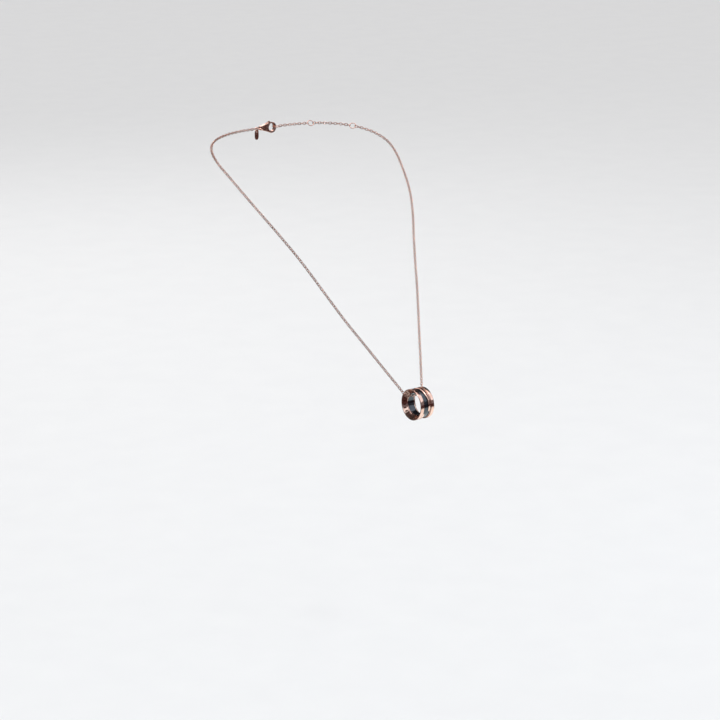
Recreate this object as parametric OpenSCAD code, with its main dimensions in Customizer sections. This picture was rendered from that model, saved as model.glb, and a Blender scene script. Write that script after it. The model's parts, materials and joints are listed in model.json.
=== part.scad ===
// Pendant necklace: a drum-shaped ring pendant that hangs loose on a fine cable chain.
// Millimetres, +Z up, front of the wearer towards -Y. The origin is midway between the two
// places where the chain leaves the shoulders, so the pendant hangs below and in front of it.

/* [Pendant] */
// Outer diameter of the drum ring
drum_d = 15; // [14.6:0.1:15.4]
// Length of the drum ring along its bore
drum_l = 8; // [7.8:0.1:8.4]
// Diameter of the bore that the chain runs through
bore_d = 10.6; // [10.4:0.1:10.8]
// Width of each outer rim along the bore
rim_w = 1.8; // [1.4:0.1:2.2]
// How far the rim faces are dished inwards
dish = 1.9; // [1.6:0.05:2]
// Number of milled ticks in each dished face
tick_count = 24; // [12:1:28]
// Width of the helical ribbon around the drum
ribbon_w = 0.9; // [0.5:0.1:1.1]
// Turns that the ribbon makes
ribbon_turns = 0.97; // [0.8:0.01:1.2]
// Angle round the drum at which the ribbon starts, from straight down towards the back
ribbon_from = 300; // [0:5:355]

/* [Chain] */
// Thickness of the chain's wire
wire_d = 0.38; // [0.34:0.01:0.4]
// Width of one oval link
link_w = 1.5; // [1.4:0.05:1.6]
// Distance from one link to the next along the chain
pitch = 1.35; // [1.34:0.01:1.36]
// Slack between two touching links
link_slack = 0.07; // [0.04:0.01:0.08]

/* [Fastening] */
// Thickness of the clasp from front to back
clasp_t = 1.7; // [1.5:0.1:1.8]
// Outer radius of the clasp's claw
claw_r = 2.8; // [2.7:0.1:2.9]
// Inner radius of the clasp's claw
claw_in_r = 1.75; // [1.7:0.05:1.8]
// Outer diameter of the ring that the claw hooks
end_ring_d = 4.4; // [4.2:0.1:4.6]
// Outer diameter of the two sizing rings
sizing_ring_d = 3.5; // [3.4:0.05:3.55]
// Height of the blank oval tag
tag_h = 5.2; // [4:0.2:6]

/* [Hidden] */
$fn = 48;
eps = 0.02;

// Pendant, worked out from the sizes above
lean = 38;         // the drop lies on a chest that slopes by this much from the vertical
drop = 122;        // from the shoulder line down the slope to the drum's axis
drum_at = [0, -drop * sin(lean), -drop * cos(lean)];
drum_r = drum_d / 2;
bore_r = bore_d / 2;
sleeve_r = bore_r + 0.75;
band_r = drum_r - 0.5;
rim_in = drum_l / 2 - rim_w;
rim_bevel = 0.15;
dish_from = drum_l / 2 - dish;   // where the dished face meets the bore
dish_r = drum_r - 0.3;           // where it meets the rim's flat edge
dish_slope = atan2(dish, dish_r - bore_r);
lip_from = dish_from - 0.33;     // the lip covers the sleeve's end
lock_r = drum_r - 0.28;
lock_w = 0.4;
tick_in = 0.5;                   // from the bore's edge out to the start of a tick
tick_l = 1.3;
tick_w = 0.7;
tick_depth = 0.18;
ribbon_gap = 0.05;               // between the ribbon's ends and the lock rings
ribbon_low = band_r + 0.03;
ribbon_high = drum_r - 0.08;
ribbon_bevel = 0.08;
ribbon_flat = 0.7;               // the flat part of the ribbon's top, as a share of its width
ribbon_sunk = 0.25;              // height of its let-in ends, as a share of its full height
ribbon_rise = 9;                 // how fast it rises out of them
ribbon_steps = 60;
ribbon_shift = rim_in - lock_w - ribbon_w / 2 - ribbon_gap;

// Half of the chain's route, from the middle of the drum round to the middle of the nape
route = [
  [0, -72.4, -92.6], [1.9, -72.4, -92.6], [3.5, -72.3, -92.6], [4.7, -72, -92.1],
  [5.5, -71.2, -91.1], [6, -70.4, -90], [6.9, -69.1, -88.2], [11.8, -62, -78.5],
  [16.6, -54.9, -68.8], [21.5, -47.8, -59.1], [26, -41, -49.2], [30.3, -34.1, -39.3],
  [34.8, -27.2, -29.5], [39.8, -20, -19.9], [44.3, -12.1, -10.9], [47.1, -4.7, -4],
  [48.5, 0, 0], [50.2, 7, 5.6], [50.8, 14.5, 10.2], [48.8, 22.5, 13.6], [44.5, 30, 15.8],
  [37.8, 36.5, 17.2], [29, 41.3, 18], [19, 44.3, 18.3], [9.5, 45.6, 18.3], [0, 46, 18.3]
];
last = len(route) - 1;
steps = 8;

// Links are numbered from 0 in the drum to 154 beside the clasp, the same on both sides
drum_end = 6;
lower_end = 36;
middle_end = 66;
upper_end = 96;
nape_end = 154;
sizing_at = [125, 141];
turn_from = 120;   // along the chain, where its standing links begin to turn upright
turn_over = 25;    // and the length over which they do
link_l = pitch + 2 * wire_d + link_slack;

// Clasp, in its own plane: u runs along the chain from the eyelet, v is up, t is its thickness
nape_at = [0, 46, 18.3];
eyelet_u = -4.3;
eyelet_r = 0.6;
eyelet_boss_r = 1.15;
ring_wire = 0.4;
end_wire = 0.45;
jump_r = 1.35;
claw_at = [5.95, -0.2];
lever_t = 0.84;
slot_t = 0.92;
lever_r = (claw_r + claw_in_r) / 2 + 0.05;
lever_at = claw_at + lever_r * [cos(135), sin(135)];
nose_angle = 60;
hinge_boss_r = 1;
slot_r = 1.2;
lever_boss_r = 0.68;
lever_half = 0.36;
lever_heel = 134;  // where the lever's arm runs into its boss
gate_to = 121;     // the claw is open from its nose up to this angle
thumb_at = claw_at + 3.05 * [cos(112), sin(112)];
thumb_r = 0.5;
tip_angle = nose_angle + 10.5;   // the rounded tip stops just short of the claw's nose
tip_at = claw_at + lever_r * [cos(tip_angle), sin(tip_angle)];
tip_swing_r = norm(tip_at - lever_at) + lever_half + 0.08;
pin_r = 0.3;
spring_t = 0.7;
spring_r = 0.86;
leaf_t = 0.14;
hook_gap = 0.24;   // the end ring bears on both edges of the claw, so its middle stays clear
tag_wire = 0.3;
tag_ring_r = 0.95;
tag_w = 3.2;
tag_t = 0.5;
tag_top = 1.15;    // from the tag's hole up to its top edge
tag_hole_r = 0.5;
jump_at = [eyelet_u + 0.15 - jump_r, nape_at[1], nape_at[2]];
tag_angle = 115;   // where round the jump ring the tag hangs
tag_pivot = jump_at + jump_r * [cos(tag_angle), sin(tag_angle), 0];
tag_ring_z = (ring_wire + tag_wire) / 2 + eps - tag_ring_r;

gold = [0.85, 0.56, 0.46];
pale_gold = [0.93, 0.7, 0.6];
ceramic_black = [0.04, 0.04, 0.06];
steel = [0.7, 0.7, 0.72];

function unit(v) = v / norm(v);

// ---- The route: a smooth curve through its points, measured along its length ----
function gap(i) = norm(route[i + 1] - route[i]);
function heading(i) =
  i == 0 ? [1, 0, 0] :
  i == last ? [-1, 0, 0] :
  (unit(route[i] - route[i - 1]) * gap(i) + unit(route[i + 1] - route[i]) * gap(i - 1))
    / (gap(i - 1) + gap(i));
function between(i, t) =
  (2 * t ^ 3 - 3 * t ^ 2 + 1) * route[i] + (t ^ 3 - 2 * t ^ 2 + t) * gap(i) * heading(i)
  + (3 * t ^ 2 - 2 * t ^ 3) * route[i + 1] + (t ^ 3 - t ^ 2) * gap(i) * heading(i + 1);
curve = [
  for (i = [0:last - 1], j = [0:steps - 1]) between(i, j / steps),
  route[last]
];
function hop(i) = i + 1 < len(curve) ? norm(curve[i + 1] - curve[i]) : 0;
along = [for (i = 0, s = 0; i < len(curve); s = s + hop(i), i = i + 1) s];
table_x = [for (i = [0:len(curve) - 1]) [along[i], curve[i][0]]];
table_y = [for (i = [0:len(curve) - 1]) [along[i], curve[i][1]]];
table_z = [for (i = [0:len(curve) - 1]) [along[i], curve[i][2]]];
function at(s) = [
  sign(s) * lookup(abs(s), table_x),
  lookup(abs(s), table_y),
  lookup(abs(s), table_z)
];
// Which way the upright links stand: off the chest in the drop, up at the nape
function upright(s) =
  let (t = min(1, max(0, (s - turn_from) / turn_over)))
  (1 - t) * [0, -cos(lean), sin(lean)] + t * [0, 0, 1];

// ---- Chain ----
module bend() {
  rotate_extrude(angle = 180) translate([(link_w - wire_d) / 2, 0]) circle(d = wire_d, $fn = 6);
}

// One oval link, long way on Y, lying in the XY plane
module link() {
  half = (link_l - link_w) / 2;
  translate([0, half, 0]) bend();
  rotate([0, 0, 180]) translate([0, half, 0]) bend();
  for (x = [-1, 1])
    translate([x * (link_w - wire_d) / 2, half, 0])
      rotate([90, 0, 0]) cylinder(d = wire_d, h = 2 * half, $fn = 6);
}

// Turns a shape's Y axis to dir and its X axis as near as possible to side
module aim(middle, dir, side) {
  z = unit(cross(side, dir));
  x = cross(dir, z);
  multmatrix([
    [x[0], dir[0], z[0], middle[0]],
    [x[1], dir[1], z[1], middle[1]],
    [x[2], dir[2], z[2], middle[2]]
  ]) children();
}

module chain_run(first, final, skip = []) {
  for (k = [first:final]) {
    if (len(search(k, skip)) == 0) {
      from = at((k - 0.5) * pitch);
      to = at((k + 0.5) * pitch);
      dir = unit(to - from);
      stand = upright(abs(k) * pitch);
      side = k % 2 == 0 ? stand : cross(dir, stand);
      color(gold) aim((from + to) / 2, dir, side) link();
    }
  }
}

module pendant_chain() chain_run(-drum_end, drum_end);
module right_lower_chain() chain_run(drum_end + 1, lower_end);
module right_middle_chain() chain_run(lower_end + 1, middle_end);
module right_upper_chain() chain_run(middle_end + 1, upper_end);
module left_lower_chain() mirror([1, 0, 0]) right_lower_chain();
module left_middle_chain() mirror([1, 0, 0]) right_middle_chain();
module left_upper_chain() mirror([1, 0, 0]) right_upper_chain();
module left_nape_chain() mirror([1, 0, 0]) chain_run(upper_end + 1, nape_end);
// The right side gives up two links to each sizing ring
module right_nape_chain() {
  chain_run(upper_end + 1, nape_end, [for (k = sizing_at) each [k, k + 1]]);
}

module wire_ring(outer_d, wire) {
  rotate_extrude() translate([(outer_d - wire) / 2, 0]) circle(d = wire, $fn = 16);
}

module sizing_rings() {
  for (k = sizing_at) {
    from = at((k - 0.5) * pitch);
    to = at((k + 1.5) * pitch);
    dir = unit(to - from);
    color(gold) aim((from + to) / 2, dir, upright(k * pitch) + cross(dir, upright(k * pitch)))
      wire_ring(sizing_ring_d, ring_wire);
  }
}

// ---- Pendant: every piece is turned about the drum's axis, which runs along X ----
module drum_piece(tone) {
  color(tone) translate(drum_at) rotate([0, 90, 0]) children();
}

module tube(outer_r, inner_r, from, to) {
  translate([0, 0, from]) difference() {
    cylinder(r = outer_r, h = to - from);
    translate([0, 0, -1]) cylinder(r = inner_r, h = to - from + 2);
  }
}

module bore_sleeve() {
  drum_piece(ceramic_black) tube(sleeve_r, bore_r, eps - lip_from, lip_from - eps);
}

// A rim with a dished face, a lip over the sleeve's end and shallow milled ticks
module rim() {
  half = drum_l / 2;
  difference() {
    rotate_extrude() polygon([
      [sleeve_r + eps, rim_in], [drum_r, rim_in], [drum_r, half - rim_bevel],
      [drum_r - rim_bevel, half], [dish_r, half], [bore_r, dish_from],
      [bore_r, lip_from], [sleeve_r + eps, lip_from]
    ]);
    for (i = [0:tick_count - 1])
      rotate([0, 0, i * 360 / tick_count])
        translate([bore_r + tick_in, 0, dish_from + tick_in * tan(dish_slope)])
          rotate([0, -dish_slope, 0])
            translate([0, -tick_w / 2, -tick_depth]) cube([tick_l, tick_w, 1]);
  }
}

module right_rim() drum_piece(pale_gold) rim();
module left_rim() drum_piece(pale_gold) mirror([0, 0, 1]) rim();

// Split rings that hold the ceramic band between the rims, seen as the step beside each rim
module lock_ring() {
  tube(lock_r, sleeve_r + eps, rim_in - lock_w, rim_in - eps);
}
module right_lock_ring() drum_piece(gold) lock_ring();
module left_lock_ring() drum_piece(gold) mirror([0, 0, 1]) lock_ring();

module ceramic_band() {
  edge = rim_in - lock_w - eps;
  drum_piece(ceramic_black) tube(band_r, sleeve_r + eps, -edge, edge);
}

// A flat ribbon of gold wound on the ceramic, clear of both lock rings
function ribbon_section(i) =
  let (
    t = i / ribbon_steps,
    a = ribbon_from + t * 360 * ribbon_turns,
    z = ribbon_shift * (2 * t - 1),
    rise = min(1, ribbon_sunk + ribbon_rise * min(t, 1 - t)),
    top = ribbon_low + (ribbon_high - ribbon_low) * rise,
    side = top - ribbon_bevel
  )
  [for (c = [
    [ribbon_low, -1], [side, -1], [top, -ribbon_flat], [top, ribbon_flat], [side, 1], [ribbon_low, 1]
  ]) [c[0] * cos(a), c[0] * sin(a), z + c[1] * ribbon_w / 2]];
// The faces that join a row of sections, each of the same number of sides, into one solid
function sweep_faces(steps, sides) = concat(
  [[for (j = [0:sides - 1]) j]],
  [for (i = [0:steps - 1], j = [0:sides - 1])
    let (k = (j + 1) % sides)
    [i * sides + j, (i + 1) * sides + j, (i + 1) * sides + k, i * sides + k]],
  [[for (j = [sides - 1:-1:0]) steps * sides + j]]
);

module helical_ribbon() {
  points = [for (i = [0:ribbon_steps]) each ribbon_section(i)];
  drum_piece(gold) polyhedron(points, sweep_faces(ribbon_steps, 6), convexity = 6);
}

// ---- Clasp at the nape ----
module clasp_plane(tone) {
  color(tone) translate([eyelet_u, nape_at[1], nape_at[2]]) rotate([90, 0, 0]) children();
}

module slab(t) {
  translate([0, 0, -t / 2]) linear_extrude(t) children();
}

module sector(r, from, to) {
  polygon([[0, 0], for (i = [0:6]) let (a = from + i * (to - from) / 6) r * [cos(a), sin(a)]]);
}

module flat_ring(outer_r, inner_r) {
  difference() {
    circle(outer_r);
    circle(inner_r);
  }
}

module clasp_body() {
  clasp_plane(gold) difference() {
    union() {
      slab(clasp_t) difference() {
        union() {
          circle(eyelet_boss_r);
          // the shank, from the eyelet to the underside of the claw and to the hinge
          polygon([
            [0, -1.12], [claw_at[0] - 1, claw_at[1] - 2.45], [claw_at[0] - 1.9, 1.9],
            [lever_at[0] - 0.7, lever_at[1] + 0.65], [0, 1.12]
          ]);
          translate(lever_at) circle(hinge_boss_r);
          translate(claw_at) circle(claw_r);
        }
        translate(claw_at) circle(claw_in_r);
        translate(claw_at) sector(4, nose_angle, gate_to);
        // the nose is cut back along the path of the lever's tip
        intersection() {
          translate(lever_at) circle(tip_swing_r);
          translate(claw_at) sector(4, 30, nose_angle + 1);
        }
        circle(eyelet_r);
      }
    }
    // The slot that the lever and its spring sit in, left open towards the claw
    slab(slot_t) union() {
      translate(lever_at) circle(slot_r);
      translate(claw_at) sector(4, 118, 152);
      translate([lever_at[0] - 1.3, lever_at[1] - 1.55]) square([2.2, 1.8]);
    }
    translate([lever_at[0], lever_at[1], -2]) cylinder(r = pin_r + 0.01, h = 4);
  }
}

module clasp_lever() {
  clasp_plane(pale_gold) difference() {
    slab(lever_t) union() {
      translate(lever_at) circle(lever_boss_r);
      translate(claw_at) intersection() {
        flat_ring(lever_r + lever_half, lever_r - lever_half);
        sector(5, tip_angle, lever_heel);
      }
      translate(tip_at) circle(lever_half);
      translate(thumb_at) circle(thumb_r);
    }
    translate([lever_at[0], lever_at[1], -2]) cylinder(r = pin_r + 0.03, h = 4);
  }
}

module clasp_pin() {
  clasp_plane(gold) translate([lever_at[0], lever_at[1], -clasp_t / 2]) cylinder(r = pin_r, h = clasp_t);
}

// A bent leaf that pushes the lever shut from inside the slot
module clasp_spring() {
  clasp_plane(steel) slab(spring_t) translate(lever_at) intersection() {
    flat_ring(spring_r, spring_r - leaf_t);
    sector(3, 190, 300);
  }
}

module clasp_jump_ring() {
  color(gold) translate(jump_at) wire_ring(2 * jump_r + ring_wire, ring_wire);
}

module end_ring() {
  hook_u = eyelet_u + claw_at[0] + claw_in_r - end_wire / 2 - hook_gap;
  color(gold) translate([hook_u + (end_ring_d - end_wire) / 2, nape_at[1], nape_at[2] + claw_at[1]])
    wire_ring(end_ring_d, end_wire);
}

// ---- Blank tag hanging from the jump ring, square to its wire ----
module tag_place(z) {
  translate(tag_pivot + [0, 0, z]) rotate([0, 0, tag_angle - 90]) children();
}

module tag_ring() {
  color(gold) tag_place(tag_ring_z) rotate([0, 90, 0]) wire_ring(2 * tag_ring_r + tag_wire, tag_wire);
}

module blank_tag() {
  hole_z = -tag_ring_r - (tag_hole_r - tag_wire / 2 - eps);
  low = tag_top - tag_h + tag_w / 2;
  color(pale_gold) tag_place(tag_ring_z + hole_z) rotate([90, 0, 0]) slab(tag_t) difference() {
    union() {
      for (v = [tag_top - tag_w / 2, low]) translate([0, v]) circle(tag_w / 2);
      translate([-tag_w / 2, low]) square([tag_w, tag_h - tag_w]);
    }
    circle(tag_hole_r);
  }
}

bore_sleeve();
left_rim();
right_rim();
left_lock_ring();
right_lock_ring();
ceramic_band();
helical_ribbon();
pendant_chain();
left_lower_chain();
right_lower_chain();
left_middle_chain();
right_middle_chain();
left_upper_chain();
right_upper_chain();
left_nape_chain();
right_nape_chain();
sizing_rings();
end_ring();
clasp_jump_ring();
clasp_body();
clasp_lever();
clasp_pin();
clasp_spring();
tag_ring();
blank_tag();
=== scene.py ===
# %% [markdown]
# # A rose gold necklace with a drum pendant
# The necklace is a closed loop of fine cable chain. A short drum, open from end to end,
# hangs loose on it: the chain simply runs through the bore. The CAD frame already holds
# every piece at its real place, so this lesson only gives the pieces their finished
# shapes and surfaces. Everything is in metres, in the frame's own axes: +Z is up, the
# wearer looks towards -Y, and the origin is between the two shoulders.

# %% Load the frame
import json
import math
import random

import bmesh
import bpy
from mathutils import Matrix, Vector

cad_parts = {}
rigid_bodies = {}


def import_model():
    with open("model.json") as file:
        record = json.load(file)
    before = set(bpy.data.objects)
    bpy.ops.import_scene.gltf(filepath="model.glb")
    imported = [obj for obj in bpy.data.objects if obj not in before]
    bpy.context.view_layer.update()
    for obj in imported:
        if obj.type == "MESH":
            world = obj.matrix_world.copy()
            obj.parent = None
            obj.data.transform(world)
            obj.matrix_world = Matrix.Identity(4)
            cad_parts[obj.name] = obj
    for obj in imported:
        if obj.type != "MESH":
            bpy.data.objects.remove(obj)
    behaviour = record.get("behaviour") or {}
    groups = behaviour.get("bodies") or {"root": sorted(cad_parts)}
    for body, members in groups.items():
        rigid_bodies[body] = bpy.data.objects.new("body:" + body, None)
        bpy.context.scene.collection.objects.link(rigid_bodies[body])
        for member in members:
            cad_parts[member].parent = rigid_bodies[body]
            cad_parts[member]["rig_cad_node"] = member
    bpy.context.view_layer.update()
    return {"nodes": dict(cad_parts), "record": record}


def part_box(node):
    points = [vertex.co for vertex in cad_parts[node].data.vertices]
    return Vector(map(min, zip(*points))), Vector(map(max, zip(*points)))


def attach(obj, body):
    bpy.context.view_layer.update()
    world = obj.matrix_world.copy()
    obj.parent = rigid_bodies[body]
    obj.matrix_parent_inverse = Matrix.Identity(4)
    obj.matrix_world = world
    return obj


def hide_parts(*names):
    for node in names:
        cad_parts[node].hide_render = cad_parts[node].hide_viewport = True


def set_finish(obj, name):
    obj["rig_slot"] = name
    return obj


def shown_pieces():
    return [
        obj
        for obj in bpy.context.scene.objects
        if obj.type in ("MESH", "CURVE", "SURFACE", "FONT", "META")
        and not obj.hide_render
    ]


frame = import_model()
nodes = frame["nodes"]
MM = 0.001
X, Y, Z = Vector((1, 0, 0)), Vector((0, 1, 0)), Vector((0, 0, 1))


# %% [markdown]
# ## The camera
# A long lens from more than a metre away keeps a small piece of jewellery free of
# distortion. The camera stands to the wearer's right and a little above, so that one
# open end of the drum shows. It is aimed by building the direction back to the camera
# from two angles, which is easier to read than a rotation.

# %% Set up the camera
CAMERA_TURN = math.radians(-37)
CAMERA_RISE = math.radians(15.5)
CAMERA_AWAY = 1.2
CAMERA_LENS = 125.5
CAMERA_TARGET = Vector((-0.00893, -0.04166, -0.08079))


def direction(turn, rise):
    """The unit vector that points from the necklace towards a stand at these two angles."""
    flat = math.cos(rise)
    return Vector((math.sin(turn) * flat, -math.cos(turn) * flat, math.sin(rise)))


back = direction(CAMERA_TURN, CAMERA_RISE)
camera = bpy.data.objects.new("camera", bpy.data.cameras.new("camera"))
camera.data.lens = CAMERA_LENS
camera.location = CAMERA_TARGET + back * CAMERA_AWAY
camera.rotation_mode = "QUATERNION"
camera.rotation_quaternion = (-back).to_track_quat("-Z", "Y")
bpy.context.scene.collection.objects.link(camera)
bpy.context.scene.camera = camera
bpy.context.scene.view_settings.view_transform = "Standard"
print("camera at", [round(c, 3) for c in camera.location])


# %% [markdown]
# ## The route of the chain
# A chain hangs along a smooth line that turns only where something holds it: in the
# drum, on the shoulders and round the nape. The points below are listed, and a
# Hermite curve joins them, whose headings come from the neighbouring points. Only the
# right half is written down, because the left half is its mirror image. The curve is
# then read by its length, since a chain is counted in links.

# %% Lay the route
ROUTE = [
    Vector(point) * MM
    for point in [
        (0, -72.4, -92.6), (1.9, -72.4, -92.6), (3.5, -72.3, -92.6), (4.7, -72, -92.1),
        (5.5, -71.2, -91.1), (6, -70.4, -90), (6.9, -69.1, -88.2), (11.8, -62, -78.5),
        (16.6, -54.9, -68.8), (21.5, -47.8, -59.1), (26, -41, -49.2), (30.3, -34.1, -39.3),
        (34.8, -27.2, -29.5), (39.8, -20, -19.9), (44.3, -12.1, -10.9), (47.1, -4.7, -4),
        (48.5, 0, 0), (50.2, 7, 5.6), (50.8, 14.5, 10.2), (48.8, 22.5, 13.6),
        (44.5, 30, 15.8), (37.8, 36.5, 17.2), (29, 41.3, 18), (19, 44.3, 18.3),
        (9.5, 45.6, 18.3), (0, 46, 18.3),
    ]
]
STEPS = 8


def heading(i):
    """The curve's direction at a point, weighed by the distances to its neighbours."""
    if i == 0:
        return X
    if i == len(ROUTE) - 1:
        return -X
    before, after = ROUTE[i] - ROUTE[i - 1], ROUTE[i + 1] - ROUTE[i]
    total = before.length + after.length
    return (before.normalized() * after.length + after.normalized() * before.length) / total


def between(i, t):
    """A point of the Hermite curve from point i to the next."""
    gap = (ROUTE[i + 1] - ROUTE[i]).length
    return (
        (2 * t**3 - 3 * t**2 + 1) * ROUTE[i]
        + (t**3 - 2 * t**2 + t) * gap * heading(i)
        + (3 * t**2 - 2 * t**3) * ROUTE[i + 1]
        + (t**3 - t**2) * gap * heading(i + 1)
    )


curve = [between(i, j / STEPS) for i in range(len(ROUTE) - 1) for j in range(STEPS)]
curve.append(ROUTE[-1])
along = [0.0]
for here, there in zip(curve, curve[1:]):
    along.append(along[-1] + (there - here).length)


def at(s):
    """The point at length s from the middle of the drum; a negative s is on the left."""
    i = 0
    while i < len(curve) - 2 and along[i + 1] < abs(s):
        i += 1
    point = curve[i].lerp(curve[i + 1], (abs(s) - along[i]) / (along[i + 1] - along[i]))
    return Vector((math.copysign(point.x, s) if s else 0, point.y, point.z))


print("the whole loop is", round(2 * along[-1] / MM), "mm long")


# %% [markdown]
# ## One link
# A cable chain is made of ovals of round wire, each turned a quarter against the last.
# One oval is enough, because every other is a copy. A ring of six points is spun half
# way round, drawn along a straight leg, spun again and bridged to its start. Six points
# round the wire and ten steps along it are plenty for a link two millimetres long: the
# shading is smooth, and three hundred copies stay light.

# %% Make one link
WIRE = 0.38 * MM
LINK_W = 1.5 * MM
PITCH = 1.35 * MM
SLACK = 0.07 * MM
LINK_L = PITCH + 2 * WIRE + SLACK
WIRE_POINTS, BEND_STEPS = 6, 4
ON_EDGE = Matrix.Rotation(math.pi / 2, 4, "X")  # stands a flat circle up, facing along Y


def edges_of(result):
    """The edges among what an operator returns."""
    return [e for e in result if isinstance(e, bmesh.types.BMEdge)]


def verts_of(result):
    """The points among what an operator returns."""
    return [v for v in result if isinstance(v, bmesh.types.BMVert)]


def one_link():
    """An oval of wire in the XY plane, long way on Y."""
    bm = bmesh.new()
    leg = (LINK_L - LINK_W) / 2
    start = Matrix.Translation(((LINK_W - WIRE) / 2, leg, 0)) @ ON_EDGE
    bmesh.ops.create_circle(bm, segments=WIRE_POINTS, radius=WIRE / 2, matrix=start)
    first = bm.edges[:]
    last = first
    for side in (1, -1):
        turned = bmesh.ops.spin(
            bm, geom=last, cent=(0, side * leg, 0), axis=Z, angle=math.pi, steps=BEND_STEPS,
        )
        last = edges_of(turned["geom_last"])
        if side == 1:
            drawn = bmesh.ops.extrude_edge_only(bm, edges=last)["geom"]
            bmesh.ops.translate(bm, vec=(0, -2 * leg, 0), verts=verts_of(drawn))
            ends = set(verts_of(drawn))
            last = [e for e in edges_of(drawn) if set(e.verts) <= ends]
    bmesh.ops.bridge_loops(bm, edges=first + last)
    bmesh.ops.recalc_face_normals(bm, faces=bm.faces[:])
    mesh = bpy.data.meshes.new("one_link")
    bm.to_mesh(mesh)
    bm.free()
    return mesh


link_mesh = one_link()
print("one link has", len(link_mesh.polygons), "faces")


# %% [markdown]
# ## From link to chain
# Each link spans the two joints on either side of it. Its long way follows the chain,
# and its flat side stands up or lies down in turn. The frame cuts the chain into nine
# runs, one on each body that it folds with, so each run becomes one piece. Real links
# never take the light alike, so every link also carries a tone of its own, which the
# material reads later.

# %% Helpers for finished pieces
def finish_piece(name, bm, body, slot, replaced, sharp=50):
    """Turns a bmesh into a shaded piece that rides on a body and stands for CAD nodes."""
    mesh = bpy.data.meshes.new(name)
    bm.to_mesh(mesh)
    bm.free()
    mesh.shade_smooth()
    mesh.set_sharp_from_angle(angle=math.radians(sharp))
    piece = bpy.data.objects.new(name, mesh)
    bpy.context.scene.collection.objects.link(piece)
    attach(piece, body)
    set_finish(piece, slot)
    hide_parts(*replaced)
    print(name, "has", len(mesh.polygons), "faces")
    return piece


def aim(middle, ahead, side):
    """A place whose Y axis is ahead and whose X axis is as near as can be to side."""
    up = side.cross(ahead).normalized()
    turn = Matrix((ahead.cross(up), ahead, up)).transposed()
    return Matrix.Translation(middle) @ turn.to_4x4()


LEAN = math.radians(38)
OFF_CHEST = Vector((0, -math.cos(LEAN), math.sin(LEAN)))
TURN_FROM, TURN_OVER = 120 * MM, 25 * MM


def upright(s):
    """Which way the standing links point: off the chest in front, straight up behind."""
    return OFF_CHEST.lerp(Z, min(1, max(0, (abs(s) - TURN_FROM) / TURN_OVER)))


# %% Make the nine runs of chain
SIZING_AT = (125, 141)
tones = random.Random(11)


def chain_run(name, first, last, body, skip=()):
    """The links from first to last, counted from the drum's middle; a negative one is left."""
    bm = bmesh.new()
    tone = bm.verts.layers.float.new("tone")
    step = 1 if first < last else -1
    for k in range(first, last + step, step):
        if k in skip:
            continue
        start, end = at((k - 0.5) * PITCH), at((k + 0.5) * PITCH)
        ahead = (end - start).normalized()
        stand = upright(k * PITCH)
        side = stand if k % 2 == 0 else ahead.cross(stand)
        count = len(bm.verts)
        bm.from_mesh(link_mesh)
        link = bm.verts[count:]
        bmesh.ops.transform(bm, matrix=aim((start + end) / 2, ahead, side), verts=link)
        shade = tones.random()
        for v in link:
            v[tone] = shade
    return finish_piece(name, bm, body, "chain_gold", [name.removesuffix("_links")], sharp=180)


chain_run("pendant_chain_links", -6, 6, "pendant_loop")
NAPE_SKIP = [k + step for k in SIZING_AT for step in (0, 1)]
for part, first, last, body in [
    ("lower", 7, 36, "lower_drop"), ("middle", 37, 66, "middle_drop"),
    ("upper", 67, 96, "upper_drop"), ("nape", 97, 154, "root"),
]:
    for side, sign in (("left", -1), ("right", 1)):
        skip = NAPE_SKIP if (side, part) == ("right", "nape") else ()
        run = chain_run(f"{side}_{part}_chain_links", sign * first, sign * last, body, skip)


# %% [markdown]
# ## The rings on the chain
# Four small rings of round wire finish the loop: the ring that the clasp hooks, the ring
# in the clasp's eyelet, and two sizing rings that let the necklace be worn shorter. A
# ring is a circle of points spun right round, and the spin merges its last step with its
# first. The clasp's two rings are placed by the frame's boxes. The end ring's wire is a
# little thinner than the CAD's, so that it stays clear of the clasp's rounded claw.

# %% Make the rings
RING_POINTS, RING_STEPS = 12, 60


def wire_ring(bm, place, outer, wire):
    """A ring of round wire round the Z axis of its place."""
    start = place @ Matrix.Translation(((outer - wire) / 2, 0, 0)) @ ON_EDGE
    section = bmesh.ops.create_circle(bm, segments=RING_POINTS, radius=wire / 2, matrix=start)
    edges = list({e for v in section["verts"] for e in v.link_edges})
    bmesh.ops.spin(
        bm, geom=edges, cent=place.translation, axis=place.col[2].xyz,
        angle=2 * math.pi, steps=RING_STEPS, use_merge=True,
    )


def middle_of(node):
    """The middle of a CAD node's box."""
    low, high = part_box(node)
    return (low + high) / 2


def size_of(node):
    """The three sides of a CAD node's box."""
    low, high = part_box(node)
    return high - low


END_WIRE, RING_WIRE, TAG_WIRE = 0.41 * MM, 0.4 * MM, 0.3 * MM
SIZING_RING = 3.5 * MM
for node, wire in (("end_ring", END_WIRE), ("clasp_jump_ring", RING_WIRE)):
    bm = bmesh.new()
    wire_ring(bm, Matrix.Translation(middle_of(node)), size_of(node).x, wire)
    bmesh.ops.recalc_face_normals(bm, faces=bm.faces[:])
    finish_piece(f"{node}_wire", bm, "root", "ring_gold", [node], sharp=180)

bm = bmesh.new()
for k in SIZING_AT:
    start, end = at((k - 0.5) * PITCH), at((k + 1.5) * PITCH)
    ahead = (end - start).normalized()
    stand = upright(k * PITCH)
    side = stand + ahead.cross(stand)
    wire_ring(bm, aim((start + end) / 2, ahead, side), SIZING_RING, RING_WIRE)
bmesh.ops.recalc_face_normals(bm, faces=bm.faces[:])
finish_piece("sizing_ring_wires", bm, "root", "ring_gold", ["sizing_rings"], sharp=180)


# %% [markdown]
# ## The drum
# Every piece of the drum is a body of revolution, as if turned on a lathe: an outline of
# a few corners is spun round the drum's axis. The corners are rounded first, on the flat
# outline, with a bevel of its points. That gives the small bright edge that polished
# metal always has, at a fraction of the faces that a bevel of the finished solid needs.

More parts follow.
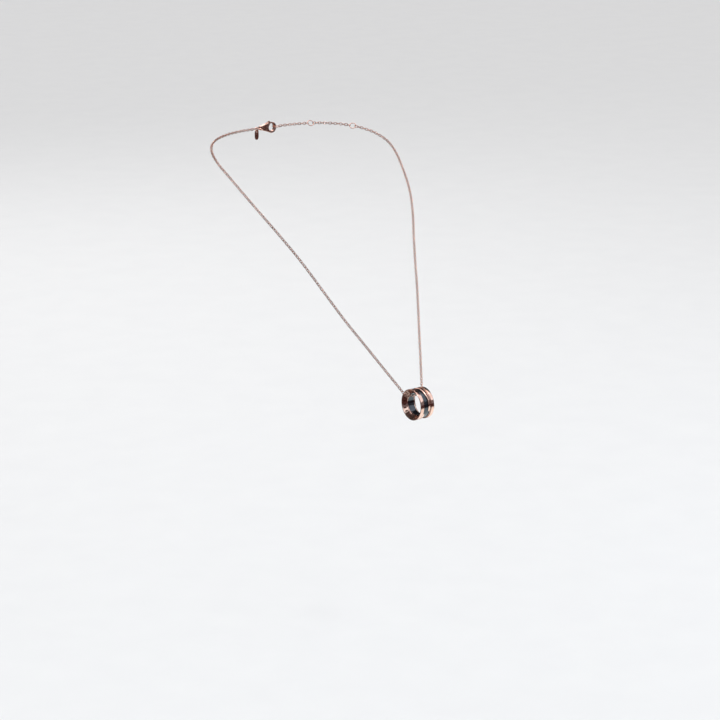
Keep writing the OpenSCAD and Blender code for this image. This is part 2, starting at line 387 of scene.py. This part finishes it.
# %% A lathe for the drum's pieces
DRUM = middle_of("ceramic_band")
AROUND = 168
ROUNDING_STEPS = 4


def lathe(bm, outline, flip=1):
    """Spins a closed outline. A corner is (along the axis, out from it, rounding), in mm."""
    corners = [
        (bm.verts.new(DRUM + (X * a * flip + Z * r) * MM), rounding)
        for a, r, rounding in outline
    ]
    face = bm.faces.new([corner for corner, _ in corners])
    for size in sorted({rounding for _, rounding in corners if rounding}):
        bmesh.ops.bevel(
            bm, geom=[corner for corner, rounding in corners if rounding == size],
            offset=size * MM, offset_type="OFFSET", segments=ROUNDING_STEPS, profile=0.5,
            affect="VERTICES", material=-1,
        )
    bmesh.ops.delete(bm, geom=[face] if face.is_valid else bm.faces[:], context="FACES_ONLY")
    bmesh.ops.spin(
        bm, geom=bm.verts[:] + bm.edges[:], cent=DRUM, axis=X,
        angle=2 * math.pi, steps=AROUND, use_merge=True,
    )
    bmesh.ops.recalc_face_normals(bm, faces=bm.faces[:])


# %% [markdown]
# ## The two rims
# The rims are the bright ends of the drum. Their faces are dished, and a row of short
# milled ticks runs round each dish. The lathe makes seven steps for each tick, so a tick
# is three steps wide and lies between two points of the outline. Insetting those faces
# with a negative depth sinks them into the metal with a sloping wall. The sunk faces get
# a value of 1 in the attribute "recess". There the material paints shade into the ticks
# and makes their milled metal rougher.

# %% Turn and mill the rims
OUTER, BORE, SEAT = 7.5, 5.3, 6.07
HALF, RIM_IN = 4.0, 2.2
DISH, DISH_R = 1.9, OUTER - 0.3
LIP_OUT = HALF - DISH
LIP_IN = LIP_OUT - 0.33
TICKS = 24
TICK_LOW, TICK_HIGH = 5.8, 6.72
STRIDE, TICK_STEPS = AROUND // TICKS, 3
TICK_WALL, TICK_DEPTH = 0.05 * MM, 0.14 * MM


def on_dish(r):
    """How far along the axis the dished face is at this radius."""
    return LIP_OUT + DISH * (r - BORE) / (DISH_R - BORE)


RIM = [
    (RIM_IN, SEAT, 0.05), (RIM_IN, OUTER, 0.15), (HALF, OUTER, 0.25), (HALF, DISH_R, 0.1),
    (on_dish(TICK_HIGH), TICK_HIGH, 0), (on_dish(TICK_LOW), TICK_LOW, 0),
    (LIP_OUT, BORE, 0.12), (LIP_IN, BORE, 0.05), (LIP_IN, SEAT, 0),
]


def in_a_tick(face, flip):
    """Whether a face looks outwards, lies in the row of ticks and belongs to one of them."""
    spot = face.calc_center_median() - DRUM
    radius = math.hypot(spot.y, spot.z) / MM
    step = int(math.atan2(spot.z, spot.y) % (2 * math.pi) / (2 * math.pi) * AROUND)
    in_row = face.normal.x * flip > 0.5 and TICK_LOW < radius < TICK_HIGH
    return in_row and step % STRIDE < TICK_STEPS


for side, flip in (("left", -1), ("right", 1)):
    bm = bmesh.new()
    lathe(bm, RIM, flip)
    recess = bm.verts.layers.float.new("recess")
    ticks = [face for face in bm.faces if in_a_tick(face, flip)]
    bmesh.ops.inset_region(
        bm, faces=ticks, thickness=TICK_WALL, depth=-TICK_DEPTH, use_boundary=True,
        use_even_offset=True,
    )
    # The sunk faces carry the mask where the material paints shade into the ticks.
    for face in ticks:
        for v in face.verts:
            v[recess] = 1.0
    finish_piece(f"{side}_rim_turned", bm, "pendant", "rim_gold", [f"{side}_rim"], sharp=35)
    print(len(ticks) // TICK_STEPS, "ticks in the", side, "rim")


# %% [markdown]
# ## The core of the drum
# Between the rims sits the dark part: a sleeve that lines the bore, a ceramic band on
# it, and a thin ring at each end that locks the band. All four are plain turned
# tubes with softened edges. The sleeve's inside is slightly crowned, so that its
# reflections bend as they do in a comfort-fit ring.

# %% Turn the core
SLEEVE_L, SLEEVE_R, SLEEVE_EDGE = 3.5, 6.05, 0.12
CROWN, CROWN_ROUNDING = 0.04, 0.9
BAND_L, BAND_R, BAND_EDGE = 3.56, 7.0, 0.14
LOCK_MIDDLE, LOCK_L, LOCK_R, LOCK_EDGE = 1.99, 0.38, 7.22, 0.08


def tube_outline(length, inner, outer, edge, crown=0.0):
    """The outline of a tube, whose inner wall may bulge by its crown."""
    half = length / 2
    inside = [(-half, inner, edge), (0, inner - crown, CROWN_ROUNDING), (half, inner, edge)]
    if not crown:
        inside = [inside[0], inside[2]]
    return inside + [(half, outer, edge), (-half, outer, edge)]


bm = bmesh.new()
lathe(bm, tube_outline(SLEEVE_L, BORE + CROWN, SLEEVE_R, SLEEVE_EDGE, CROWN))
finish_piece("bore_lining", bm, "pendant", "black_ceramic", ["bore_sleeve"], sharp=35)

bm = bmesh.new()
lathe(bm, tube_outline(BAND_L, SEAT, BAND_R, BAND_EDGE))
finish_piece("polished_band", bm, "pendant", "black_ceramic", ["ceramic_band"], sharp=35)

lock_outline = [
    (a + LOCK_MIDDLE, r, edge)
    for a, r, edge in tube_outline(LOCK_L, SEAT, LOCK_R, LOCK_EDGE)
]
for side, flip in (("left", -1), ("right", 1)):
    bm = bmesh.new()
    lathe(bm, lock_outline, flip)
    finish_piece(f"{side}_lock_step", bm, "pendant", "polished_gold", [f"{side}_lock_ring"], 35)


# %% [markdown]
# ## The wound ribbon
# A flat gold ribbon winds once round the ceramic. A spin with a sideways push at every
# step makes a helix, so the ribbon's section of six corners is spun by nearly a full
# turn while it moves from one lock ring to the other. Both ends are closed, and then
# pressed down on the ceramic, where the real ribbon is let in.

# %% Wind the ribbon
RIBBON_FROM, RIBBON_TURNS, RIBBON_STEPS = math.radians(300), 0.97, 144
RIBBON_W, RIBBON_GAP, LOCK_SPACE = 0.9, 0.05, 0.4
RIBBON_SHIFT = RIM_IN - LOCK_SPACE - RIBBON_GAP - RIBBON_W / 2
RIBBON_LOW, RIBBON_HIGH, RIBBON_FLAT = 7.03, 7.42, 0.7
RIBBON_SIDE = RIBBON_HIGH - 0.08
END_HEIGHT, END_RISE = 0.25, 9


def wind_ribbon():
    """The ribbon, from one lock ring to the other, with its height pressed down at both ends."""
    bm = bmesh.new()
    section = [
        (RIBBON_LOW, -1), (RIBBON_SIDE, -1), (RIBBON_HIGH, -RIBBON_FLAT),
        (RIBBON_HIGH, RIBBON_FLAT), (RIBBON_SIDE, 1), (RIBBON_LOW, 1),
    ]
    out = Vector((0, math.sin(RIBBON_FROM), -math.cos(RIBBON_FROM)))
    corners = [
        bm.verts.new(DRUM + (out * r + X * (w * RIBBON_W / 2 - RIBBON_SHIFT)) * MM)
        for r, w in section
    ]
    first = bm.faces.new(corners)
    bmesh.ops.delete(bm, geom=[first], context="FACES_ONLY")
    bmesh.ops.spin(
        bm, geom=bm.edges[:], cent=DRUM, axis=X, angle=2 * math.pi * RIBBON_TURNS,
        steps=RIBBON_STEPS, dvec=X * (2 * RIBBON_SHIFT / RIBBON_STEPS) * MM,
    )
    bmesh.ops.holes_fill(bm, edges=[e for e in bm.edges if e.is_boundary], sides=6)
    for i, v in enumerate(bm.verts):
        t = (i // len(section)) / RIBBON_STEPS
        press = min(1, END_HEIGHT + END_RISE * min(t, 1 - t))
        spoke = Vector((0, v.co.y - DRUM.y, v.co.z - DRUM.z))
        v.co += spoke.normalized() * (spoke.length - RIBBON_LOW * MM) * (press - 1)
    bmesh.ops.recalc_face_normals(bm, faces=bm.faces[:])
    return bm


finish_piece("wound_ribbon", wind_ribbon(), "pendant", "polished_gold", ["helical_ribbon"], 40)


# %% [markdown]
# ## The clasp
# A lobster clasp is cast and then tumbled with small stones, so none of its edges is
# crisp. The CAD body has the right holes and the right thickness but sharp edges. Voxel
# remeshing rebuilds a solid as an even skin, and smoothing that skin wears every edge
# down alike, as tumbling does. The frame's own mesh is left alone: the work is done on a
# copy, scaled up to millimetres because the voxel size has a lower limit.

# %% Tumble the clasp's body and lever
WELD = 0.001 * MM


def tumbled(name, node, voxel, passes, body):
    """A worn copy of a CAD node. The voxel is in millimetres; more passes wear it more."""
    bm = bmesh.new()
    bm.from_mesh(nodes[node].data)
    bmesh.ops.remove_doubles(bm, verts=bm.verts[:], dist=WELD)
    bmesh.ops.scale(bm, vec=(1 / MM,) * 3, verts=bm.verts[:])
    mesh = bpy.data.meshes.new(f"{name}_rough")
    bm.to_mesh(mesh)
    bm.free()
    rough = bpy.data.objects.new(f"{name}_rough", mesh)
    bpy.context.scene.collection.objects.link(rough)
    remesh = rough.modifiers.new("skin", "REMESH")
    remesh.mode = "VOXEL"
    remesh.voxel_size = voxel
    skin = bpy.data.meshes.new_from_object(
        rough.evaluated_get(bpy.context.evaluated_depsgraph_get())
    )
    bpy.data.objects.remove(rough)
    bm = bmesh.new()
    bm.from_mesh(skin)
    for _ in range(passes):
        bmesh.ops.smooth_vert(
            bm, verts=bm.verts[:], factor=0.5,
            use_axis_x=True, use_axis_y=True, use_axis_z=True,
        )
    bmesh.ops.scale(bm, vec=(MM,) * 3, verts=bm.verts[:])
    return finish_piece(name, bm, body, "clasp_gold", [node], sharp=180)


tumbled("clasp_casting", "clasp_body", 0.085, 8, "clasp")
tumbled("clasp_lever_casting", "clasp_lever", 0.06, 4, "lever")


# %% [markdown]
# ## The pin, the tag and its ring
# The lever turns on a riveted pin, whose two heads are slightly domed. The blank tag
# hangs beside the clasp. It is a rounded plate with a hole: two loops with the same
# number of points are bridged into a flat ring of faces, which is then given its
# thickness, and every edge is rounded with a bevel.

# %% Make the pin
PIN_R, PIN_DOME = 0.3 * MM, 0.08 * MM
PIN_POINTS, DOME_STEPS = 24, 3
pin_along = Y * size_of("clasp_pin").y
bm = bmesh.new()
bmesh.ops.create_circle(
    bm, segments=PIN_POINTS, radius=PIN_R, cap_ends=True,
    matrix=Matrix.Translation(middle_of("clasp_pin") - pin_along / 2) @ ON_EDGE,
)
drawn = bmesh.ops.extrude_face_region(bm, geom=bm.faces[:], use_keep_orig=True)
bmesh.ops.translate(bm, vec=pin_along, verts=verts_of(drawn["geom"]))
bmesh.ops.recalc_face_normals(bm, faces=bm.faces[:])
heads = [e for f in bm.faces if abs(f.normal.y) > 0.9 for e in f.edges]
bmesh.ops.bevel(
    bm, geom=heads, offset=PIN_DOME, offset_type="OFFSET", segments=DOME_STEPS,
    profile=0.5, affect="EDGES", material=-1,
)
finish_piece("lever_rivet", bm, "clasp", "clasp_gold", ["clasp_pin"], sharp=60)

# %% Make the tag and its ring
TAG_W, TAG_H, TAG_T = 3.2 * MM, 5.2 * MM, 0.5 * MM
HOLE_R, HOLE_DOWN = 0.5 * MM, 1.15 * MM
TAG_POINTS, TAG_EDGE, CRISP = 48, 0.12 * MM, math.radians(60)
tag_turn = Matrix.Rotation(math.radians(25), 4, "Z")
ring_middle, tag_low = middle_of("tag_ring"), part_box("blank_tag")[0].z
bm = bmesh.new()
ring_place = Matrix.Translation(ring_middle) @ tag_turn @ Matrix.Rotation(math.pi / 2, 4, "Y")
wire_ring(bm, ring_place, size_of("tag_ring").z, TAG_WIRE)
bmesh.ops.recalc_face_normals(bm, faces=bm.faces[:])
finish_piece("tag_ring_wire", bm, "tag", "ring_gold", ["tag_ring"], sharp=180)

bm = bmesh.new()
hole_place = Vector((ring_middle.x, ring_middle.y, tag_low + TAG_H - HOLE_DOWN))
plate = Matrix.Translation(hole_place) @ tag_turn @ ON_EDGE
bmesh.ops.create_circle(bm, segments=TAG_POINTS, radius=HOLE_R)
rim = bmesh.ops.create_circle(bm, segments=TAG_POINTS, radius=TAG_W / 2)["verts"]
rim_middle = HOLE_DOWN - TAG_W / 2
bmesh.ops.translate(bm, vec=Y * rim_middle, verts=rim)
lower = [v for v in rim if v.co.y < rim_middle - WELD]
bmesh.ops.translate(bm, vec=-Y * (TAG_H - TAG_W), verts=lower)
bmesh.ops.bridge_loops(bm, edges=bm.edges[:])
bmesh.ops.translate(bm, vec=Z * TAG_T / 2, verts=bm.verts[:])
drawn = bmesh.ops.extrude_face_region(bm, geom=bm.faces[:], use_keep_orig=True)
bmesh.ops.translate(bm, vec=-Z * TAG_T, verts=verts_of(drawn["geom"]))
bmesh.ops.recalc_face_normals(bm, faces=bm.faces[:])
edges = [e for e in bm.edges if e.is_manifold and e.calc_face_angle() > CRISP]
bmesh.ops.bevel(
    bm, geom=edges, offset=TAG_EDGE, offset_type="OFFSET", segments=ROUNDING_STEPS,
    profile=0.5, affect="EDGES", material=-1,
)
bmesh.ops.transform(bm, matrix=plate, verts=bm.verts[:])
finish_piece("plain_tag", bm, "tag", "clasp_gold", ["blank_tag"], sharp=60)


# %% [markdown]
# ## Effects that the finishes share
# Three effects come back in several finishes, so each is a node group: hair-fine
# scratches from wear, soft cloudy patches where fingers have touched the metal, and the
# rings that a lathe leaves. A group puts out plain values that vary over the surface,
# and each material decides what to do with them. The scale is counted in patterns per
# metre, so scratches a fifth of a millimetre apart need a scale of a few thousand.

# %% Helpers for node groups
def new_group(name, inputs, outputs):
    """An empty node group, with its input and output nodes."""
    group = bpy.data.node_groups.new(name, "ShaderNodeTree")
    for label, kind in inputs:
        group.interface.new_socket(label, in_out="INPUT", socket_type=kind)
    for label in outputs:
        group.interface.new_socket(label, in_out="OUTPUT", socket_type="NodeSocketFloat")
    return group, group.nodes.new("NodeGroupInput"), group.nodes.new("NodeGroupOutput")


def math_node(tree, operation, a, b, c=None):
    """A Math node; each input is a socket or a number."""
    node = tree.nodes.new("ShaderNodeMath")
    node.operation = operation
    for slot, value in zip(node.inputs, (a, b, c)):
        if isinstance(value, bpy.types.NodeSocket):
            tree.links.new(value, slot)
        elif value is not None:
            slot.default_value = value
    return node.outputs[0]


def noise_node(tree, vector, scale, detail=2.0, stretch=None):
    """A noise value. A stretch is a rotation and a scale that the pattern is drawn out by."""
    if stretch:
        mapping = tree.nodes.new("ShaderNodeMapping")
        mapping.inputs["Rotation"].default_value = stretch[0]
        mapping.inputs["Scale"].default_value = stretch[1]
        tree.links.new(vector, mapping.inputs["Vector"])
        vector = mapping.outputs["Vector"]
    node = tree.nodes.new("ShaderNodeTexNoise")
    node.inputs["Detail"].default_value = detail
    tree.links.new(vector, node.inputs["Vector"])
    if isinstance(scale, bpy.types.NodeSocket):
        tree.links.new(scale, node.inputs["Scale"])
    else:
        node.inputs["Scale"].default_value = scale
    return node.outputs["Fac"]


def ramp_node(tree, value, low, high):
    """Spreads the part of a value between low and high over 0 to 1."""
    node = tree.nodes.new("ShaderNodeMapRange")
    node.inputs["From Min"].default_value = low
    node.inputs["From Max"].default_value = high
    tree.links.new(value, node.inputs["Value"])
    return node.outputs["Result"]


# %% Fine scratches
VECTOR_AND_SCALE = [("Vector", "NodeSocketVector"), ("Scale", "NodeSocketFloat")]
SCRATCH_WAYS = [
    ((0.3, 0.9, 0.4), (1, 0.05, 1)),
    ((1.1, 0.2, 2.0), (1, 0.06, 1)),
    ((2.1, 1.4, 0.9), (0.05, 1, 1)),
]
SCRATCH_FROM, SCRATCH_FULL = 0.62, 0.78


def scratches_group():
    """Three sets of long thin marks that cross each other."""
    group, given, made = new_group("fine_scratches", VECTOR_AND_SCALE, ["Lines"])
    vector, scale = given.outputs["Vector"], given.outputs["Scale"]
    lines = None
    for way in SCRATCH_WAYS:
        noise = noise_node(group, vector, scale, 1.0, way)
        line = ramp_node(group, noise, SCRATCH_FROM, SCRATCH_FULL)
        lines = line if lines is None else math_node(group, "MAXIMUM", lines, line)
    group.links.new(lines, made.inputs["Lines"])
    return group


# %% Handling patches
PATCH_FROM, PATCH_FULL = 0.38, 0.66


def patches_group():
    """Soft clouds that cover about half of the surface."""
    group, given, made = new_group("handling_patches", VECTOR_AND_SCALE, ["Patch"])
    noise = noise_node(group, given.outputs["Vector"], given.outputs["Scale"], 3.0)
    group.links.new(ramp_node(group, noise, PATCH_FROM, PATCH_FULL), made.inputs["Patch"])
    return group


# %% Turning lines
ALONG_SHARE = 0.7


def turning_group():
    """Rings round the X axis, on faces that look outwards and on faces that look along it."""
    group, given, made = new_group(
        "turning_lines",
        [("Vector", "NodeSocketVector"), ("Lines per metre", "NodeSocketFloat")],
        ["Height"],
    )
    apart = group.nodes.new("ShaderNodeSeparateXYZ")
    group.links.new(given.outputs["Vector"], apart.inputs["Vector"])
    squares = []
    for a in "YZ":
        distance = math_node(group, "ABSOLUTE", apart.outputs[a], None)
        squares.append(math_node(group, "POWER", distance, 2.0))
    radius = math_node(group, "SQRT", math_node(group, "ADD", *squares), None)
    along_axis = math_node(group, "MULTIPLY", apart.outputs["X"], ALONG_SHARE)
    spot = math_node(group, "ADD", radius, along_axis)
    phase = math_node(group, "MULTIPLY", spot, given.outputs["Lines per metre"])
    wave = math_node(group, "SINE", math_node(group, "MULTIPLY", phase, 2 * math.pi), None)
    group.links.new(math_node(group, "MULTIPLY_ADD", wave, 0.5, 0.5), made.inputs["Height"])
    return group


SCRATCHES, PATCHES, TURNING = scratches_group(), patches_group(), turning_group()
print("shared effects:", ", ".join(g.name for g in bpy.data.node_groups))


# %% [markdown]
# ## Rose gold
# Rose gold is gold with copper in it. All its colour is in the reflections, so the
# metal is fully metallic and its base colour is what the reflections are tinted with.
# The chain, the turned rims, the cast clasp and the drawn rings are the same alloy with
# different finishes, so one function makes them all: it takes the colour, the colour it
# shifts to where skin has dulled it, the roughness and how strong each effect is.

# %% Helpers for materials
def place_group(tree, group, vector, amount):
    """One of the shared effects at work in a material; the amount is its scale."""
    node = tree.nodes.new("ShaderNodeGroup")
    node.node_tree = group
    tree.links.new(vector, node.inputs["Vector"])
    node.inputs[1].default_value = amount
    return node.outputs[0]


def mix_colour(tree, factor, a, b):
    """A colour between a and b; each is a socket or three numbers."""
    node = tree.nodes.new("ShaderNodeMix")
    node.data_type = "RGBA"
    tree.links.new(factor, node.inputs["Factor"])
    for name, value in (("A", a), ("B", b)):
        slot = [s for s in node.inputs if s.name == name and s.type == "RGBA"][0]
        if isinstance(value, bpy.types.NodeSocket):
            tree.links.new(value, slot)
        else:
            slot.default_value = (*value, 1)
    return [s for s in node.outputs if s.type == "RGBA"][0]


def attribute(tree, name):
    """A value that the mesh carries; it is 0 on a mesh without it."""
    node = tree.nodes.new("ShaderNodeAttribute")
    node.attribute_name = name
    return node.outputs["Fac"]


# %% Make the rose gold finishes
ROSE, ROSE_DULL = (0.90, 0.60, 0.49), (0.70, 0.40, 0.31)
CHAIN_ROSE, CHAIN_DULL = (0.95, 0.69, 0.59), (0.55, 0.32, 0.25)
# The near-black red below is painted shade for the sunk ticks of the rims.
RECESS_PAINTED_SHADE = (0.10, 0.022, 0.015)
DULL_MIX, TONE_MIX, RECESS_SHADE_MIX = 0.6, 0.45, 0.9
DULL_HAZE, WORN_HAZE, TONE_HAZE, RECESS_HAZE = 0.08, 0.1, 0.05, 0.3
SCRATCH_HEIGHT, LINE_HEIGHT = -1.0, 0.2
SCRATCH_SCALE, GRAIN_SCALE = 2500, 3500


def rose_gold(name, bright, dull, rough, depth, patch=400, lines=0, grain=0.0):
    """A finish of the alloy. The depth of its relief is in mm, and lines are per metre."""
    material = bpy.data.materials.new(name)
    material.use_nodes = True
    tree = material.node_tree
    shader = tree.nodes["Principled BSDF"]
    shader.inputs["Metallic"].default_value = 1.0
    coords = tree.nodes.new("ShaderNodeTexCoord").outputs["Object"]
    about = tree.nodes.new("ShaderNodeMapping")
    about.inputs["Location"].default_value = -DRUM
    tree.links.new(coords, about.inputs["Vector"])
    spot = about.outputs["Vector"]

    dulled = place_group(tree, PATCHES, spot, patch)
    tone = attribute(tree, "tone")
    recess = attribute(tree, "recess")
    colour = mix_colour(tree, math_node(tree, "MULTIPLY", dulled, DULL_MIX), bright, dull)
    colour = mix_colour(tree, math_node(tree, "MULTIPLY", tone, TONE_MIX), colour, dull)
    # Painted shade: the sunk ticks are darkened towards a near-black red.
    tick_shade_share = math_node(tree, "MULTIPLY", recess, RECESS_SHADE_MIX)
    colour = mix_colour(tree, tick_shade_share, colour, RECESS_PAINTED_SHADE)
    tree.links.new(colour, shader.inputs["Base Color"])

    worn = place_group(tree, SCRATCHES, spot, SCRATCH_SCALE)
    haze = math_node(tree, "MULTIPLY_ADD", dulled, DULL_HAZE, rough)
    haze = math_node(tree, "MULTIPLY_ADD", worn, WORN_HAZE, haze)
    haze = math_node(tree, "MULTIPLY_ADD", tone, TONE_HAZE, haze)
    haze = math_node(tree, "MULTIPLY_ADD", recess, RECESS_HAZE, haze)
    tree.links.new(haze, shader.inputs["Roughness"])

    height = math_node(tree, "MULTIPLY", worn, SCRATCH_HEIGHT)
    if lines:
        rings = place_group(tree, TURNING, spot, lines)
        height = math_node(tree, "MULTIPLY_ADD", rings, LINE_HEIGHT, height)
    if grain:
        cast = noise_node(tree, spot, GRAIN_SCALE, 3.0)
        height = math_node(tree, "MULTIPLY_ADD", cast, grain, height)
    bump = tree.nodes.new("ShaderNodeBump")
    bump.inputs["Distance"].default_value = depth * MM
    bump.inputs["Strength"].default_value = 1.0
    tree.links.new(height, bump.inputs["Height"])
    tree.links.new(bump.outputs["Normal"], shader.inputs["Normal"])
    return material


FINISHES = {
    "chain_gold": rose_gold("chain_gold", CHAIN_ROSE, CHAIN_DULL, 0.12, 0.003),
    "polished_gold": rose_gold("polished_gold", ROSE, ROSE_DULL, 0.1, 0.002),
    "rim_gold": rose_gold("rim_gold", ROSE, ROSE_DULL, 0.09, 0.002, lines=9000),
    "ring_gold": rose_gold("ring_gold", ROSE, ROSE_DULL, 0.14, 0.003),
    "clasp_gold": rose_gold("clasp_gold", ROSE, ROSE_DULL, 0.18, 0.003, patch=700, grain=0.2),
}
print("gold finishes:", ", ".join(FINISHES))


# %% [markdown]
# ## Ceramic and spring steel
# The band and the bore are a polished technical ceramic: nearly black, very hard and
# glossier than glass, because it bends light more. So it gets a high index of
# refraction and a clear coat, its reflections are tinted slightly blue, and only faint
# handling marks change its roughness. The leaf spring in the clasp is rolled strip, with
# a grain along its length.

# %% Make the ceramic and the steel
CERAMIC, CERAMIC_SMEAR = (0.003, 0.003, 0.005), (0.008, 0.008, 0.012)
STEEL_DARK, STEEL_PALE = (0.5, 0.5, 0.52), (0.68, 0.68, 0.7)


def plain_setup(name, vector_scale=(1, 1, 1)):
    """A new material: itself, its tree, its shader and a scaled place on the object."""
    material = bpy.data.materials.new(name)
    material.use_nodes = True
    tree = material.node_tree
    coords = tree.nodes.new("ShaderNodeTexCoord").outputs["Object"]
    mapping = tree.nodes.new("ShaderNodeMapping")
    mapping.inputs["Scale"].default_value = vector_scale
    tree.links.new(coords, mapping.inputs["Vector"])
    return material, tree, tree.nodes["Principled BSDF"], mapping.outputs["Vector"]


def black_ceramic():
    material, tree, shader, spot = plain_setup("black_ceramic")
    shader.inputs["IOR"].default_value = 1.7
    shader.inputs["Specular Tint"].default_value = (0.8, 0.9, 1, 1)
    shader.inputs["Coat Weight"].default_value = 0.3
    shader.inputs["Coat Roughness"].default_value = 0.03
    smear = place_group(tree, PATCHES, spot, 500)
    colour = mix_colour(tree, smear, CERAMIC, CERAMIC_SMEAR)
    tree.links.new(colour, shader.inputs["Base Color"])
    haze = math_node(tree, "MULTIPLY_ADD", smear, 0.1, 0.05)
    worn = place_group(tree, SCRATCHES, spot, SCRATCH_SCALE)
    haze = math_node(tree, "MULTIPLY_ADD", worn, 0.06, haze)
    tree.links.new(haze, shader.inputs["Roughness"])
    return material


def spring_steel():
    material, tree, shader, spot = plain_setup("spring_steel", (1, 0.05, 1))
    shader.inputs["Metallic"].default_value = 1.0
    grain = noise_node(tree, spot, 9000, 2.0)
    colour = mix_colour(tree, grain, STEEL_DARK, STEEL_PALE)
    tree.links.new(colour, shader.inputs["Base Color"])
    haze = math_node(tree, "MULTIPLY_ADD", grain, 0.15, 0.22)
    tree.links.new(haze, shader.inputs["Roughness"])
    return material


FINISHES["black_ceramic"] = black_ceramic()
FINISHES["spring_steel"] = spring_steel()

# %% Give every piece its finish
cad_slots = {s["node"]: s["material_slot"] for s in frame["record"]["subparts"]}
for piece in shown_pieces():
    slot = piece.get("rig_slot")
    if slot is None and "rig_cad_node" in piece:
        slot = cad_slots[piece["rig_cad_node"]]
    piece.data.materials.clear()
    piece.data.materials.append(FINISHES[slot])


# %% [markdown]
# ## Floor, sky and lights
# Jewellery shows its surroundings more than itself, so a Light Path node keeps what is
# reflected apart from what is seen. The camera sees a pale floor and a plain pale sky.
# The metal reflects a dark floor with two pale patches, which give the drum its broad
# highlights, and a sky that is grey at the horizon, nearly black half way up and bright
# overhead, which gives it deep brown shades beside clean edges. Soft boxes add the small
# bright points.

# %% Lay the floor
FLOOR_Z, FLOOR_R = -0.2, 9
PAPER, PAPER_SHADE = (0.79, 0.79, 0.79), (0.75, 0.75, 0.755)
FLOOR_DARK, FLOOR_PALE = (0.07, 0.035, 0.035), (1.15, 1.28, 1.3)
PALE_SPOTS = [((0.11, -0.14), 0.2, 0.12), ((0.5, 0.6), 0.5, 0.25)]  # centre, edge, core


def mix_shaders(tree, seen, reflected):
    """One look for what is seen directly, and another for what the metal reflects."""
    choose = tree.nodes.new("ShaderNodeMixShader")
    rays = tree.nodes.new("ShaderNodeLightPath")
    tree.links.new(rays.outputs["Is Glossy Ray"], choose.inputs["Fac"])
    tree.links.new(seen, choose.inputs[1])
    tree.links.new(reflected, choose.inputs[2])
    return choose.outputs[0]


bm = bmesh.new()
bmesh.ops.create_circle(
    bm, segments=96, radius=FLOOR_R, cap_ends=True, matrix=Matrix.Translation(Z * FLOOR_Z),
)
mesh = bpy.data.meshes.new("pale_table")
bm.to_mesh(mesh)
bm.free()
table = bpy.data.objects.new("pale_table", mesh)
bpy.context.scene.collection.objects.link(table)
paper, tree, shader, spot = plain_setup("pale_paper")
shader.inputs["Roughness"].default_value = 0.6
colour = mix_colour(tree, noise_node(tree, spot, 40, 3.0), PAPER, PAPER_SHADE)
tree.links.new(colour, shader.inputs["Base Color"])
near = []
for centre, edge, core in PALE_SPOTS:
    away = tree.nodes.new("ShaderNodeVectorMath")
    away.operation = "DISTANCE"
    tree.links.new(spot, away.inputs[0])
    away.inputs[1].default_value = (*centre, FLOOR_Z)
    near.append(ramp_node(tree, away.outputs["Value"], edge, core))
glow = mix_colour(tree, math_node(tree, "MAXIMUM", *near), FLOOR_DARK, FLOOR_PALE)
mirrored = tree.nodes.new("ShaderNodeEmission")
tree.links.new(glow, mirrored.inputs["Color"])
tree.links.new(
    mix_shaders(tree, shader.outputs[0], mirrored.outputs[0]),
    tree.nodes["Material Output"].inputs["Surface"],
)
table.data.materials.append(paper)

# %% Paint the sky
HORIZON, OVERHEAD = (0.22, 0.22, 0.26, 1), (2.0, 1.95, 2.0, 1)
SKY_GREYS = [(0.3, 0.16), (0.5, 0.03), (0.8, 0.06), (0.86, 1.9)]
GREEN_SHARE = 0.95
SEEN_SKY = (0.97, 0.97, 0.97, 1)
world = bpy.data.worlds.new("studio")
bpy.context.scene.world = world
world.use_nodes = True
tree = world.node_tree
tree.nodes.clear()
towards = tree.nodes.new("ShaderNodeTexCoord").outputs["Generated"]
apart = tree.nodes.new("ShaderNodeSeparateXYZ")
tree.links.new(towards, apart.inputs["Vector"])
ramp = tree.nodes.new("ShaderNodeValToRGB")
tree.links.new(apart.outputs["Z"], ramp.inputs["Fac"])
stops = ramp.color_ramp.elements
stops[0].position, stops[0].color = 0.0, HORIZON
stops[1].position, stops[1].color = 1.0, OVERHEAD
for height, grey in SKY_GREYS:
    stops.new(height).color = (grey, grey * GREEN_SHARE, grey, 1)
clouds = ramp_node(tree, noise_node(tree, towards, 2.2, 2.0), 0.35, 0.65)
room = tree.nodes.new("ShaderNodeBackground")
tree.links.new(ramp.outputs["Color"], room.inputs["Color"])
tree.links.new(math_node(tree, "MULTIPLY_ADD", clouds, 0.9, 0.5), room.inputs["Strength"])
pale = tree.nodes.new("ShaderNodeBackground")
pale.inputs["Color"].default_value = SEEN_SKY
tree.links.new(
    mix_shaders(tree, pale.outputs[0], room.outputs[0]),
    tree.nodes.new("ShaderNodeOutputWorld").inputs["Surface"],
)


# %% Hang the lights
def soft_box(name, turn, rise, away, size, watts, colour=(1, 1, 1)):
    """A square light at two angles round the pendant, turned towards it."""
    lamp = bpy.data.lights.new(name, "AREA")
    lamp.size = size
    lamp.energy = watts
    lamp.color = colour
    towards = direction(math.radians(turn), math.radians(rise))
    box = bpy.data.objects.new(name, lamp)
    box.location = DRUM + towards * away
    box.rotation_mode = "QUATERNION"
    box.rotation_quaternion = (-towards).to_track_quat("-Z", "Y")
    bpy.context.scene.collection.objects.link(box)


soft_box("key_box", 52, 40, 0.9, 0.66, 1.8, (0.82, 0.9, 1))
soft_box("spark_box", 60, 66, 0.8, 0.05, 0.35)
soft_box("fill_box", -67, 31, 1.1, 0.46, 1.1, (0.74, 0.9, 1))
soft_box("back_box", 165, 35, 1.1, 0.5, 1.6)
